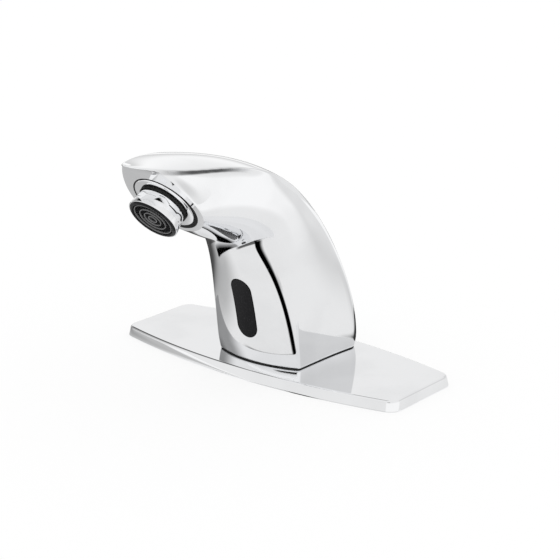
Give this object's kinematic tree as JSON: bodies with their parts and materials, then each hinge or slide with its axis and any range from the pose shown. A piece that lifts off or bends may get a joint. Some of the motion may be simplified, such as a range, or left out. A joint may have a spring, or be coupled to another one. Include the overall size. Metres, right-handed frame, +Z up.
{
  "type": "sensor tap",
  "caption": "Touch-free basin tap: a chrome body with a leaf-shaped spout and black sensor window, on a long deck plate.",
  "frame": {"origin": "centre of the tap hole on the deck surface, the underside of the plate and gasket", "axes": "+X to the user's right, +Y away from the user, +Z up; the spout points along -Y"},
  "size_m": [0.1654, 0.1377, 0.1157],
  "materials": {
    "chrome": "polished chrome plate on cast brass",
    "brass": "machined, unplated",
    "steel": "plain stainless steel",
    "black_rubber": "matt black rubber",
    "black_foam": "closed-cell black foam",
    "smoked_lens": "polished infrared-clear black",
    "black_plastic": "moulded, fine matt",
    "board_green": "solder mask",
    "emitter_lens": "clear blue-tinted epoxy",
    "receiver_lens": "dark infrared-clear epoxy",
    "white_plastic": "moulded acetal"
  },
  "bodies": {
    "tap": {"tap_body": "chrome", "deck_plate": "chrome", "plate_gasket": "black_foam", "base_seal": "black_rubber", "base_block": "brass", "base_screws": "steel", "cable_grommet": "black_rubber", "water_tube": "brass", "tube_seal_lower": "black_rubber", "tube_seal_upper": "black_rubber", "sensor_window": "smoked_lens", "window_seal": "black_rubber", "sensor_housing": "black_plastic", "sensor_back_cover": "black_plastic", "sensor_board": "board_green", "ir_emitter": "emitter_lens", "ir_receiver": "receiver_lens", "optic_shroud": "black_plastic", "sensor_bracket": "steel", "sensor_screws": "steel"},
    "aerator_cartridge": {"aerator_insert": "black_plastic", "aerator_regulator": "white_plastic", "aerator_screen": "steel", "aerator_washer": "black_rubber"},
    "aerator_ring": {"aerator_housing": "chrome"}
  },
  "joints": [
    {"name": "aerator_withdraw", "type": "slide", "parent": "tap", "child": "aerator_cartridge", "axis": [0, -0.7837, -0.6211], "range_m": [0, 0.0051]},
    {"name": "aerator_unscrew", "type": "hinge", "parent": "aerator_cartridge", "child": "aerator_ring", "pos_m": [0, -0.0801, 0.0947], "axis": [0, -0.7837, -0.6211], "range_deg": [0, 1800]}
  ],
  "couplings": [
    {"joint": "aerator_withdraw", "follows": "aerator_unscrew", "m_per_rad": 0.00015915}
  ]
}
